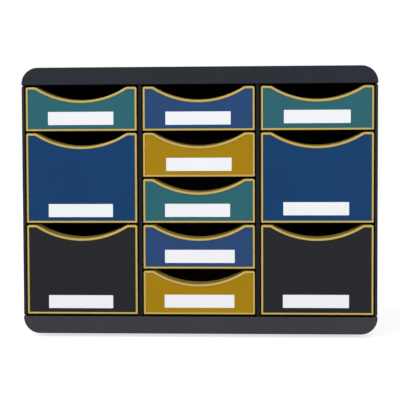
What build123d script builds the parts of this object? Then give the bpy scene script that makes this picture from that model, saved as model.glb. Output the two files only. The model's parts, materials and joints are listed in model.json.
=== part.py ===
"""Desktop mini drawers: eleven trays in three columns between two rounded covers.

Millimetres, +Z up, fronts towards -Y, origin under the middle of the unit on the desk.
"""
import os
from math import sqrt

from build123d import *

# Overall size
unit_width = 355.0
unit_depth = 270.0
casing_height = 267.0
foot_height = 4.0

# Top and base covers
cover_height = 17.35
cover_corner_radius = 16.5
cover_side_rise = 0.8  # the least upright stretch of a cover's side below its rounded edge
cover_wall = 2.5
cover_end_wall = 3.0
cover_edge_radius = 1.0
cover_lap_wall = 1.7
groove_rib = 1.6
side_groove_depth = 4.0
divider_groove_depth = 7.0

# Upright panels
side_thickness = 2.5
divider_thickness = 3.6
rear_thickness = 2.2
side_inset = 0.3
side_setback = 0.5
divider_setback = 4.0
side_notch_depth = 1.5
side_notch_height = 2.4
panel_edge_radius = 0.8
rear_groove_depth = 0.8
panel_fit = 0.15
edge_share = 0.45  # the largest part of a wall that a rounded edge may take

# Rubber feet
foot_radius = 7.0
foot_seat_depth = 1.0
foot_fit = 0.15
foot_edge_radius = 0.8
foot_inset = 38.0

# Rows and gaps round the drawer fronts
row_count = 5
row_gap = 2.18
cover_gap = 2.2
side_gap = 1.35

# Drawer front with its finger arc
front_setback = 0.6
front_thickness = 3.0
front_top_radius = 2.0
arc_chord = 91.0
arc_depth = 13.5
arc_blend_radius = 6.0

# Gold edging
bead_width = 2.0
top_bead_width = 2.5
bead_rise = 1.2
bead_round = 0.9
skirt_thickness = 1.2
edging_fit = 0.1
lip_depth = 12.0
lip_rise = 1.2

# Blank label cards
label_height = 13.1
label_thickness = 0.25
label_corner_radius = 0.4

# Drawer trays
tray_inset = 0.6
tray_wall = 2.0
tray_floor = 2.0
tray_top_drop = 3.0
tray_rear_gap = 2.0
tray_corner_radius = 3.8
tray_inner_radius = 1.2

# Runners and stops
runner_thickness = 2.0
runner_rise = 0.6
runner_bearing = 4.5
runner_clearance = 0.2
closing_clearance = 0.3
drawer_travel = 205.0
stop_reach = 1.3
stop_height = 8.0
stop_thickness = 2.5
stop_rise = 12.0
stop_clearance = 0.3
lug_length = 4.0
lug_setback = 8.0

# Drawers: place of the column, top row, rows taken, and the label's width, shift and rise
drawers = {
    "left_top": (-1, 0, 1, 65.8, -0.5, 12.6),
    "left_middle": (-1, 1, 2, 64.8, -1.1, 12.3),
    "left_bottom": (-1, 3, 2, 65.0, -1.6, 12.4),
    "centre_first": (0, 0, 1, 65.0, -0.6, 12.3),
    "centre_second": (0, 1, 1, 65.3, 0.1, 12.3),
    "centre_third": (0, 2, 1, 65.0, -1.4, 12.4),
    "centre_fourth": (0, 3, 1, 69.8, 0.7, 12.3),
    "centre_fifth": (0, 4, 1, 70.0, 0.2, 13.2),
    "right_top": (1, 0, 1, 65.8, -0.1, 13.3),
    "right_middle": (1, 1, 2, 65.0, -1.1, 13.9),
    "right_bottom": (1, 3, 2, 65.6, -1.3, 13.4),
}

# Heights
base_z = foot_height
bay_bottom = base_z + cover_height
casing_top = base_z + casing_height
bay_top = casing_top - cover_height
bay_height = bay_top - bay_bottom
front_height = (bay_height - 2 * cover_gap - (row_count - 1) * row_gap) / row_count
row_pitch = front_height + row_gap

# Places across the width
side_outer = unit_width / 2 - side_inset
side_inner = side_outer - side_thickness
column_width = (2 * side_inner - 2 * divider_thickness) / 3
column_pitch = column_width + divider_thickness
front_width = column_width - 2 * side_gap
divider_x = column_pitch / 2
tray_width = front_width - 2 * tray_inset
runner_reach = side_gap + tray_inset + runner_bearing
rear_panel_half = side_inner + rear_groove_depth - panel_fit

# Places along the depth
casing_front = -unit_depth / 2
casing_rear = unit_depth / 2
cavity_front = casing_front + cover_end_wall
cavity_rear = casing_rear - cover_end_wall
side_front = casing_front + side_setback
divider_front = casing_front + divider_setback
bead_front = casing_front + front_setback
panel_face = bead_front + bead_rise
front_rear = panel_face + front_thickness
rear_panel_rear = cavity_rear - panel_fit
rear_panel_front = rear_panel_rear - rear_thickness
tray_rear = rear_panel_front - tray_rear_gap
lug_rear = tray_rear - lug_setback
lug_front = lug_rear - lug_length
stop_rear = lug_front - drawer_travel - stop_clearance
runner_front = front_rear + closing_clearance


def facing(x, y, z):
    """An upright plane that faces the front, with its origin at a point."""
    return Plane(origin=(x, y, z), x_dir=(1, 0, 0), z_dir=(0, -1, 0))


def block(x_span, y_span, z_span, mode=Mode.ADD):
    """A rectangular block of the open part, between two places on each axis."""
    x_low, x_high = sorted(x_span)
    with BuildSketch(facing((x_low + x_high) / 2, y_span[1], (z_span[0] + z_span[1]) / 2)) as profile:
        Rectangle(x_high - x_low, z_span[1] - z_span[0])
    extrude(profile.sketch, amount=y_span[1] - y_span[0], mode=mode)


def drawer_height(rows):
    """Height of a drawer front that takes a number of rows."""
    return rows * front_height + (rows - 1) * row_gap


def drawer_bottom(top_row, rows):
    """Height above the desk of a drawer front's lower edge."""
    return bay_top - cover_gap - (top_row + rows) * row_pitch + row_gap


def column_drawers(column):
    """Heights of the lower edges of one column's drawer fronts."""
    return [drawer_bottom(place[1], place[2]) for place in drawers.values() if place[0] == column]


# Covers: one section across the width, closed at the front and the back

def cover_outline(inset):
    """The top cover's section from bay_top up, with its rounded side edges, drawn in by an inset."""
    half = unit_width / 2 - inset
    height = cover_height - inset
    radius = min(cover_corner_radius, cover_height - cover_side_rise) - inset
    with BuildSketch(Plane.XY) as outline:
        with BuildLine():
            Polyline((half - radius, height), (radius - half, height))
            RadiusArc((radius - half, height), (-half, height - radius), -radius)
            Polyline((-half, height - radius), (-half, 0), (half, 0), (half, height - radius))
            RadiusArc((half, height - radius), (half - radius, height), -radius)
        make_face()
    return outline.sketch


def groove_spans():
    """Where each upright panel's tongue goes across the width, and how deep it seats."""
    side_tongue = (side_inner, unit_width / 2 - cover_lap_wall - panel_fit)
    left_tongue = (-side_tongue[1], -side_tongue[0])
    half = divider_thickness / 2
    return [
        (left_tongue, side_groove_depth),
        ((-divider_x - half, -divider_x + half), divider_groove_depth),
        ((divider_x - half, divider_x + half), divider_groove_depth),
        (side_tongue, side_groove_depth),
    ]


def cover_section():
    """The top cover's hollow section with the ribs and grooves that hold the uprights."""
    outline = cover_outline(0)
    with BuildSketch(Plane.XY) as ribs:
        for (low, high), depth in groove_spans():
            with Locations(((low + high) / 2, depth / 2 + groove_rib / 2)):
                Rectangle(high - low + 2 * (panel_fit + groove_rib), depth + groove_rib)
        add(outline, mode=Mode.INTERSECT)
    with BuildSketch(Plane.XY) as section:
        add(outline)
        add(cover_outline(cover_wall), mode=Mode.SUBTRACT)
        add(ribs.sketch)
        for (low, high), depth in groove_spans():
            with Locations(((low + high) / 2, (depth + panel_fit) / 2)):
                Rectangle(high - low + 2 * panel_fit, depth + panel_fit, mode=Mode.SUBTRACT)
    return section.sketch


def make_cover(cover, upward):
    """Fill an open part with one cover, its open side at the edge of the bays."""
    edge_z = bay_top if upward else bay_bottom
    outline = cover_outline(0)
    section = cover_section()
    if not upward:
        outline = mirror(outline, about=Plane.XZ, mode=Mode.PRIVATE)
        section = mirror(section, about=Plane.XZ, mode=Mode.PRIVATE)
    slabs = [
        (outline, cavity_front, cover_end_wall),
        (section, cavity_rear, cavity_rear - cavity_front),
        (outline, casing_rear, cover_end_wall),
    ]
    for shape, rear_y, length in slabs:
        with BuildSketch(facing(0, rear_y, edge_z)) as profile:
            add(shape)
        extrude(profile.sketch, amount=length)
    rim = cover.edges().filter_by_position(Axis.Y, casing_front, casing_front)
    fillet(rim, min(cover_edge_radius, edge_share * cover_end_wall))
    slot_low = edge_z if upward else edge_z - side_groove_depth
    slot_half = rear_panel_half + panel_fit
    block((-slot_half, slot_half), (rear_panel_front - panel_fit, cavity_rear),
          (slot_low, slot_low + side_groove_depth), mode=Mode.SUBTRACT)


def foot_places():
    """Places of the four feet under the base."""
    x = unit_width / 2 - foot_inset
    y = unit_depth / 2 - foot_inset
    return [(-x, -y), (x, -y), (-x, y), (x, y)]


# Upright panels with their runners and stops

def add_runners(face_x, inward, column):
    """Add one column's runners and stops to a panel face; inward is the way to the drawers."""
    for bottom in column_drawers(column):
        runner_z = bottom + runner_rise
        block((face_x, face_x + inward * runner_reach), (runner_front, rear_panel_front - panel_fit),
              (runner_z, runner_z + runner_thickness))
        stop_z = runner_z + runner_thickness + stop_rise
        block((face_x, face_x + inward * stop_reach), (stop_rear - stop_thickness, stop_rear),
              (stop_z - stop_height, stop_z + stop_height))


def make_side_panel(side):
    """One side wall: -1 on the left, 1 on the right."""
    tongue_outer = unit_width / 2 - cover_lap_wall - panel_fit
    tongue_reach = side_groove_depth - panel_fit
    with BuildPart() as panel:
        block((side * side_inner, side * side_outer), (side_front, casing_rear), (bay_bottom, bay_top))
        outer = panel.faces().sort_by(Axis.X)[-1 if side > 0 else 0]
        chamfer(outer.edges().filter_by(Axis.Y), side_notch_height, side_notch_depth, reference=outer)
        block((side * side_inner, side * tongue_outer), (cavity_front + panel_fit, cavity_rear - panel_fit),
              (bay_bottom - tongue_reach, bay_top + tongue_reach))
        add_runners(side * side_inner, -side, side)
        block((side * (side_inner - rear_groove_depth), side * (side_inner + rear_groove_depth)),
              (rear_panel_front - panel_fit, rear_panel_rear + panel_fit),
              (bay_bottom - tongue_reach, bay_top + tongue_reach), mode=Mode.SUBTRACT)
    return panel


def make_divider(side):
    """One upright wall between two columns: -1 for the left one, 1 for the right one."""
    left_face = side * divider_x - divider_thickness / 2
    right_face = side * divider_x + divider_thickness / 2
    tongue_reach = divider_groove_depth - panel_fit
    tongue_front = max(divider_front, cavity_front + panel_fit)
    back = rear_panel_front - panel_fit
    with BuildPart() as divider:
        block((left_face, right_face), (divider_front, back), (bay_bottom, bay_top))
        front = divider.faces().sort_by(Axis.Y)[0]
        fillet(front.edges().filter_by(Axis.Z), min(panel_edge_radius, edge_share * divider_thickness))
        block((left_face, right_face), (tongue_front, back),
              (bay_bottom - tongue_reach, bay_top + tongue_reach))
        add_runners(left_face, -1, (side - 1) // 2)
        add_runners(right_face, 1, (side + 1) // 2)
    return divider


# Drawers

def front_outline(height, edge_inset, top_inset):
    """A drawer front with its finger arc, from its lower edge up, drawn in by insets.

    The top inset is that of the shoulders and the arc, the edge inset that of the sides and the lower edge.
    """
    arc_radius = (arc_chord ** 2 / 4 + arc_depth ** 2) / (2 * arc_depth)
    centre_y = height - arc_depth + arc_radius
    radius = arc_radius + top_inset
    top = height - top_inset
    half = front_width / 2 - edge_inset
    shoulder = sqrt(radius ** 2 - (centre_y - top) ** 2)
    with BuildSketch(Plane.XY) as outline:
        with BuildLine():
            Polyline((-shoulder, top), (-half, top), (-half, edge_inset),
                     (half, edge_inset), (half, top), (shoulder, top))
            ThreePointArc((shoulder, top), (0, centre_y - radius), (-shoulder, top))
        make_face()
        top_corners = outline.vertices().group_by(Axis.Y)[-1].sort_by(Axis.X)
        fillet(top_corners[1:3], arc_blend_radius - top_inset)
        if front_top_radius > edge_inset:
            outer_corners = outline.vertices().group_by(Axis.Y)[-1].sort_by(Axis.X)
            fillet([outer_corners[0], outer_corners[-1]], front_top_radius - edge_inset)
    return outline.sketch


def front_ring(height, edge_width, top_width):
    """A band inside the edge of a drawer front, with its own width at the shoulders and the arc."""
    with BuildSketch(Plane.XY) as ring:
        add(front_outline(height, 0, 0))
        add(front_outline(height, edge_width, top_width), mode=Mode.SUBTRACT)
    return ring.sketch


def make_edging(x, bottom, height):
    """The gold bead round a drawer front, its skirt round the edge, and the rising finger lip."""
    bead_ring = front_ring(height, bead_width, top_bead_width)
    skirt_ring = front_ring(height, skirt_thickness, skirt_thickness)
    lip_run = lip_depth - front_thickness
    with BuildPart() as edging:
        with BuildSketch(facing(x, panel_face, bottom)):
            add(bead_ring)
        extrude(amount=bead_rise)
        front_edges = edging.faces().sort_by(Axis.Y)[0].edges()
        fillet(front_edges, min(bead_round, edge_share * bead_width, bead_rise))
        with BuildSketch(facing(x, front_rear, bottom)):
            add(skirt_ring)
        extrude(amount=front_thickness)
        with BuildSketch(facing(x, front_rear, bottom)):
            add(skirt_ring)
            with Locations((0, height)):
                Rectangle(arc_chord, 2 * (arc_depth + skirt_thickness), mode=Mode.INTERSECT)
        extrude(amount=sqrt(lip_run ** 2 + lip_rise ** 2), dir=(0, lip_run, lip_rise))
    return edging


def make_tray(x, bottom, height):
    """A drawer's moulding: the front plate, and an open box on the runners behind it."""
    floor_z = bottom + runner_rise + runner_thickness + runner_clearance
    wall_top = bottom + height - tray_top_drop
    half = tray_width / 2
    plate_inset = skirt_thickness + edging_fit
    with BuildPart() as tray:
        block((x - half, x + half), (front_rear, tray_rear), (floor_z, wall_top))
        rear_face = tray.faces().sort_by(Axis.Y)[-1]
        fillet(rear_face.edges().filter_by(Axis.Z), tray_corner_radius)
        block((x - half + tray_wall, x + half - tray_wall), (front_rear, tray_rear - tray_wall),
              (floor_z + tray_floor, wall_top), mode=Mode.SUBTRACT)
        inner_back = tray.faces().filter_by(Axis.Y).sort_by(Axis.Y)[-2]
        fillet(inner_back.edges().filter_by(Axis.Z), tray_corner_radius - tray_wall)
        inner_floor = tray.faces().filter_by(Axis.Z).sort_by(Axis.Z)[1]
        fillet(inner_floor.edges().sort_by(Axis.Y)[1:], tray_inner_radius)
        with BuildSketch(facing(x, front_rear, bottom)):
            add(front_outline(height, plate_inset, plate_inset))
        extrude(amount=front_thickness)
        lug_z = floor_z - runner_clearance + stop_rise
        for side in (-1, 1):
            block((x + side * (half - tray_wall / 2), x + side * (half + stop_reach)), (lug_front, lug_rear),
                  (lug_z - stop_height / 2, lug_z + stop_height / 2))
    return tray


def make_label(x, bottom, width, shift, rise):
    """A blank card stuck low on a drawer front."""
    with BuildPart() as label:
        with BuildSketch(facing(x + shift, panel_face, bottom + rise)):
            RectangleRounded(width, label_height, label_corner_radius)
        extrude(amount=label_thickness)
    return label


def save(piece, name):
    """Label a finished piece and write it as one file."""
    piece.part.label = name
    export_step(piece.part, f"parts/{name}.step")


os.makedirs("parts", exist_ok=True)

with BuildPart() as top_cover:
    make_cover(top_cover, upward=True)

with BuildPart() as base_cover:
    make_cover(base_cover, upward=False)
    with BuildSketch(Plane.XY.offset(base_z)):
        with Locations(*foot_places()):
            Circle(foot_radius + foot_fit)
    extrude(amount=foot_seat_depth, mode=Mode.SUBTRACT)

with BuildPart() as rubber_feet:
    with BuildSketch(Plane.XY):
        with Locations(*foot_places()):
            Circle(foot_radius)
    extrude(amount=foot_height + foot_seat_depth)
    sole_edges = rubber_feet.edges().group_by(Axis.Z)[0]
    fillet(sole_edges, foot_edge_radius)

with BuildPart() as rear_panel:
    rear_reach = side_groove_depth - panel_fit
    block((-rear_panel_half, rear_panel_half), (rear_panel_front, rear_panel_rear),
          (bay_bottom - rear_reach, bay_top + rear_reach))

save(top_cover, "top_cover")
save(base_cover, "base_cover")
save(rubber_feet, "rubber_feet")
save(rear_panel, "rear_panel")
save(make_side_panel(-1), "left_side_panel")
save(make_side_panel(1), "right_side_panel")
save(make_divider(-1), "left_divider")
save(make_divider(1), "right_divider")

for name, (column, top_row, rows, label_width, label_shift, label_rise) in drawers.items():
    column_x = column * column_pitch
    bottom = drawer_bottom(top_row, rows)
    height = drawer_height(rows)
    save(make_tray(column_x, bottom, height), f"tray_{name}")
    save(make_edging(column_x, bottom, height), f"edging_{name}")
    save(make_label(column_x, bottom, label_width, label_shift, label_rise), f"label_{name}")
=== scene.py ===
"""Looks of the desktop mini drawers: finishes, camera, floor and studio light round the fixed frame."""
import json
import math

import bpy
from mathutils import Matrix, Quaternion, Vector


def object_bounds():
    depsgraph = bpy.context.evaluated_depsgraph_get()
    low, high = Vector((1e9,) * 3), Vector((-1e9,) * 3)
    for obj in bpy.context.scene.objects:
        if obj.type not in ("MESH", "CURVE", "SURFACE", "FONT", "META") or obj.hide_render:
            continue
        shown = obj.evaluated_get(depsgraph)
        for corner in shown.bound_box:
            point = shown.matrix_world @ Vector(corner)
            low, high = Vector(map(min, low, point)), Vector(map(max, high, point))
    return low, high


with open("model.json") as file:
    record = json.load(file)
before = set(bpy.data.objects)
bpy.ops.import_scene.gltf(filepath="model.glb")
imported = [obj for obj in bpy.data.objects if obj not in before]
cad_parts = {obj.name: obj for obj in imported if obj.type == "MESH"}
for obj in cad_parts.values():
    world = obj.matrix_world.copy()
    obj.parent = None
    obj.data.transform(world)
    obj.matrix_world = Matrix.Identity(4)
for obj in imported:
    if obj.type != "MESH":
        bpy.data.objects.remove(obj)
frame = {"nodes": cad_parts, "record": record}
cad_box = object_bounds()

# Camera: lengths in metres, with the scale and the aim taken in the front plane of the object's box
IMAGE_PIXELS = 400
SENSOR_MM = 36.0
CAMERA_DISTANCE = 1.1
CAMERA_PITCH = math.radians(2.6)
CAMERA_YAW = math.radians(3.0)
CAMERA_ROLL = math.radians(-0.22)
PIXELS_PER_METRE = 1003.5
AIM_SHIFT = 0.0012
AIM_RISE = 0.0029

# Finishes: linear colours, shares from 0 to 1, lengths in metres
CASING_COLOUR = (0.017, 0.022, 0.030)
# Base cover: the anthracite plastic made lighter, partly a lighter plastic and partly painted light
# bounced up from the floor
BASE_COLOUR_PARTLY_PAINTED_LIGHT = (0.043, 0.044, 0.051)
# Dividers: the anthracite plastic made darker, painted shade of their recess between the drawers
DIVIDER_PAINTED_SHADE_COLOUR = (0.0075, 0.009, 0.014)
TRAY_COLOURS = {
    "teal": (0.024, 0.129, 0.158),
    "blue": (0.020, 0.062, 0.178),
    "navy": (0.004, 0.045, 0.146),
    "black": (0.013, 0.014, 0.017),
    "mustard": (0.390, 0.220, 0.002),
}
CASING_ROUGHNESS = 0.42
TRAY_ROUGHNESS = 0.36
ROUGHNESS_SPREAD = 0.05
PLASTIC_SPECULAR = 0.12
GOLD_COLOUR = (0.56, 0.40, 0.09)
GOLD_METAL_SHARE = 0.2
PAPER_COLOUR = (0.93, 0.945, 0.985)
RUBBER_COLOUR = (0.02, 0.02, 0.02)
EDGE_RADIUS = 0.0004
BEVEL_SAMPLES = 4

# Studio: lengths in metres, floor and world as shares of white
FLOOR_HALF = 4.0
FLOOR_WHITE = 0.8
FLOOR_GLOW = 0.7
WORLD_AS_LIGHT = 0.45
WORLD_AS_SEEN = 1.0
LAMP_SIZE = 2.0
LAMP_AIM = (0.0, 0.0, 0.15)
LAMP_PLACES = {"key": (-2.6, -4.0, 3.0), "fill": (3.2, -4.0, 1.0)}
LAMP_WATTS = {"key": 106, "fill": 68}


# Shader pieces

def new_material(name):
    """A plain new material, with its node tree and its shader."""
    material = bpy.data.materials.new(name)
    material.use_nodes = True
    return material, material.node_tree, material.node_tree.nodes["Principled BSDF"]


def noise(tree, scale, detail):
    """Noise that stays on the object, with about scale waves to the metre."""
    place = tree.nodes.new("ShaderNodeTexCoord")
    texture = tree.nodes.new("ShaderNodeTexNoise")
    texture.inputs["Scale"].default_value = scale
    texture.inputs["Detail"].default_value = detail
    tree.links.new(place.outputs["Object"], texture.inputs["Vector"])
    return texture.outputs["Fac"]


def spread(tree, value, low, high):
    """A value from 0 to 1 spread between two levels."""
    levels = tree.nodes.new("ShaderNodeMapRange")
    levels.inputs["To Min"].default_value = low
    levels.inputs["To Max"].default_value = high
    tree.links.new(value, levels.inputs["Value"])
    return levels.outputs["Result"]


def shade(tree, value, colour, darker, lighter):
    """A colour that wanders between a darker and a lighter share of itself."""
    mix = tree.nodes.new("ShaderNodeMix")
    mix.data_type = "RGBA"
    mix.inputs["A"].default_value = [c * darker for c in colour] + [1]
    mix.inputs["B"].default_value = [min(1.0, c * lighter) for c in colour] + [1]
    tree.links.new(value, mix.inputs["Factor"])
    return mix.outputs["Result"]


def bump(tree, value, depth, edge_radius=0.0):
    """Relief of a depth, over edges that look rounded where a radius is given."""
    relief = tree.nodes.new("ShaderNodeBump")
    relief.inputs["Distance"].default_value = depth
    tree.links.new(value, relief.inputs["Height"])
    if edge_radius:
        rounded = tree.nodes.new("ShaderNodeBevel")
        rounded.samples = BEVEL_SAMPLES
        rounded.inputs["Radius"].default_value = edge_radius
        tree.links.new(rounded.outputs["Normal"], relief.inputs["Normal"])
    return relief.outputs["Normal"]


def grey(level):
    """An opaque grey, from black at 0 to white at 1."""
    return (level, level, level, 1)


# Materials of the object

def moulded_plastic(name, colour, roughness):
    """Moulded plastic: fine spark-eroded grain, faint cloudiness and uneven gloss."""
    material, tree, shader = new_material(name)
    cloudiness = noise(tree, scale=28, detail=3)
    dullness = noise(tree, scale=60, detail=4)
    grain = noise(tree, scale=2600, detail=2)
    tint = shade(tree, cloudiness, colour, darker=0.93, lighter=1.07)
    gloss = spread(tree, dullness, low=roughness - ROUGHNESS_SPREAD, high=roughness + ROUGHNESS_SPREAD)
    tree.links.new(tint, shader.inputs["Base Color"])
    tree.links.new(gloss, shader.inputs["Roughness"])
    tree.links.new(bump(tree, grain, depth=0.00003, edge_radius=EDGE_RADIUS), shader.inputs["Normal"])
    shader.inputs["Specular IOR Level"].default_value = PLASTIC_SPECULAR
    return material


def gold_foil(name):
    """Gold-coloured satin foil, only partly metal, with faint clouds, rubbing and creases."""
    material, tree, shader = new_material(name)
    cloudiness = noise(tree, scale=45, detail=4)
    rubbing = noise(tree, scale=160, detail=5)
    creases = noise(tree, scale=900, detail=3)
    tint = shade(tree, cloudiness, GOLD_COLOUR, darker=0.9, lighter=1.1)
    tree.links.new(tint, shader.inputs["Base Color"])
    tree.links.new(spread(tree, rubbing, low=0.26, high=0.42), shader.inputs["Roughness"])
    tree.links.new(bump(tree, creases, depth=0.00004), shader.inputs["Normal"])
    shader.inputs["Metallic"].default_value = GOLD_METAL_SHARE
    return material


def paper(name):
    """White card: faint fibres, hardly any gloss."""
    material, tree, shader = new_material(name)
    cloudiness = noise(tree, scale=700, detail=4)
    dullness = noise(tree, scale=300, detail=2)
    fibres = noise(tree, scale=1500, detail=3)
    tint = shade(tree, cloudiness, PAPER_COLOUR, darker=0.98, lighter=1.02)
    tree.links.new(tint, shader.inputs["Base Color"])
    tree.links.new(spread(tree, dullness, low=0.75, high=0.9), shader.inputs["Roughness"])
    tree.links.new(bump(tree, fibres, depth=0.00002), shader.inputs["Normal"])
    return material


def rubber(name):
    """Soft dark rubber for the feet: cloudy, dull and slightly rough."""
    material, tree, shader = new_material(name)
    cloudiness = noise(tree, scale=90, detail=3)
    dullness = noise(tree, scale=200, detail=2)
    pores = noise(tree, scale=1800, detail=2)
    tint = shade(tree, cloudiness, RUBBER_COLOUR, darker=0.85, lighter=1.2)
    tree.links.new(tint, shader.inputs["Base Color"])
    tree.links.new(spread(tree, dullness, low=0.75, high=0.9), shader.inputs["Roughness"])
    tree.links.new(bump(tree, pores, depth=0.00005), shader.inputs["Normal"])
    return material


def dress_object():
    """Give each node its slot's finish; the base's is lighter, partly painted light, the dividers'
    painted shade.
    """
    slot_finishes = {
        "casing": moulded_plastic("anthracite_plastic", CASING_COLOUR, CASING_ROUGHNESS),
        "feet": rubber("foot_rubber"),
        "edging": gold_foil("gold_foil"),
        "label": paper("white_card"),
    }
    for tray, colour in TRAY_COLOURS.items():
        slot_finishes["tray_" + tray] = moulded_plastic(tray + "_plastic", colour, TRAY_ROUGHNESS)
    # Lighter base cover: partly a lighter plastic, partly painted light from the floor
    base_plastic_partly_painted_light = moulded_plastic("base_plastic_partly_painted_light", BASE_COLOUR_PARTLY_PAINTED_LIGHT, CASING_ROUGHNESS)
    # Darker dividers: painted shade of their recess between the drawers
    divider_plastic_painted_shade = moulded_plastic("divider_plastic_painted_shade", DIVIDER_PAINTED_SHADE_COLOUR, CASING_ROUGHNESS)
    # Base partly painted light and dividers painted shade, in place of their slots' finish
    painted_light_and_shade_finishes = {
        "base_cover": base_plastic_partly_painted_light,
        "left_divider": divider_plastic_painted_shade,
        "right_divider": divider_plastic_painted_shade,
    }
    for part in frame["record"]["subparts"]:
        finish = painted_light_and_shade_finishes.get(part["node"], slot_finishes[part["material_slot"]])
        mesh = frame["nodes"][part["node"]].data
        mesh.materials.clear()
        mesh.materials.append(finish)


# Studio

def new_object(name, data):
    """A new object, put in the scene."""
    thing = bpy.data.objects.new(name, data)
    bpy.context.scene.collection.objects.link(thing)
    return thing


def camera_or_mirror(tree):
    """1 for rays from the camera and for mirrored and refracted ones, 0 for the rest."""
    path = tree.nodes.new("ShaderNodeLightPath")
    total = path.outputs["Is Camera Ray"]
    for other in ("Is Glossy Ray", "Is Transmission Ray"):
        either = tree.nodes.new("ShaderNodeMath")
        either.operation = "MAXIMUM"
        tree.links.new(total, either.inputs[0])
        tree.links.new(path.outputs[other], either.inputs[1])
        total = either.outputs["Value"]
    return total


def pale_floor_material():
    """Matt pale grey, with a glow for the camera and mirrors only."""
    material = bpy.data.materials.new("pale_floor")
    material.use_nodes = True
    tree = material.node_tree
    tree.nodes.clear()
    matt = tree.nodes.new("ShaderNodeBsdfDiffuse")
    matt.inputs["Color"].default_value = grey(FLOOR_WHITE)
    glow = tree.nodes.new("ShaderNodeEmission")
    glow.inputs["Color"].default_value = grey(1)
    both = tree.nodes.new("ShaderNodeAddShader")
    output = tree.nodes.new("ShaderNodeOutputMaterial")
    tree.links.new(spread(tree, camera_or_mirror(tree), low=0, high=FLOOR_GLOW), glow.inputs["Strength"])
    tree.links.new(matt.outputs["BSDF"], both.inputs[0])
    tree.links.new(glow.outputs["Emission"], both.inputs[1])
    tree.links.new(both.outputs["Shader"], output.inputs["Surface"])
    return material


def studio_floor():
    """Square floor that shows white where nothing shades it, and keeps the object's shadow."""
    mesh = bpy.data.meshes.new("floor")
    corners = [(x * FLOOR_HALF, y * FLOOR_HALF, 0) for x, y in ((-1, -1), (1, -1), (1, 1), (-1, 1))]
    mesh.from_pydata(corners, [], [(0, 1, 2, 3)])
    mesh.materials.append(pale_floor_material())
    new_object("floor", mesh)


def studio_world():
    """Plain white surroundings, dimmer as a light than as they look."""
    world = bpy.data.worlds.new("studio")
    world.use_nodes = True
    tree = world.node_tree
    back = tree.nodes["Background"]
    back.inputs["Color"].default_value = grey(1)
    strength = spread(tree, camera_or_mirror(tree), low=WORLD_AS_LIGHT, high=WORLD_AS_SEEN)
    tree.links.new(strength, back.inputs["Strength"])
    bpy.context.scene.world = world


def soft_lamp(name, place, watts):
    """A square soft box that points at the object."""
    light = bpy.data.lights.new(name, "AREA")
    light.size = LAMP_SIZE
    light.energy = watts
    lamp = new_object(name, light)
    lamp.location = place
    lamp.rotation_euler = (Vector(LAMP_AIM) - Vector(place)).to_track_quat("-Z", "Y").to_euler()


def studio_camera():
    """The photograph's view: almost straight at the fronts, from slightly to the right and above."""
    low, high = cad_box
    aim = Vector(((low.x + high.x) / 2 + AIM_SHIFT, low.y, (low.z + high.z) / 2 + AIM_RISE))
    back = Vector((math.sin(CAMERA_YAW) * math.cos(CAMERA_PITCH),
                   -math.cos(CAMERA_YAW) * math.cos(CAMERA_PITCH), math.sin(CAMERA_PITCH)))
    data = bpy.data.cameras.new("camera")
    data.sensor_width = SENSOR_MM
    data.lens = PIXELS_PER_METRE * CAMERA_DISTANCE * SENSOR_MM / IMAGE_PIXELS
    camera = new_object("camera", data)
    camera.location = aim + back * CAMERA_DISTANCE
    level = (-back).to_track_quat("-Z", "Y")
    camera.rotation_euler = (level @ Quaternion((0, 0, 1), CAMERA_ROLL)).to_euler()
    bpy.context.scene.camera = camera


dress_object()
studio_floor()
studio_world()
studio_camera()
for lamp_name, lamp_place in LAMP_PLACES.items():
    soft_lamp(lamp_name, lamp_place, LAMP_WATTS[lamp_name])
bpy.context.scene.view_settings.view_transform = "Standard"
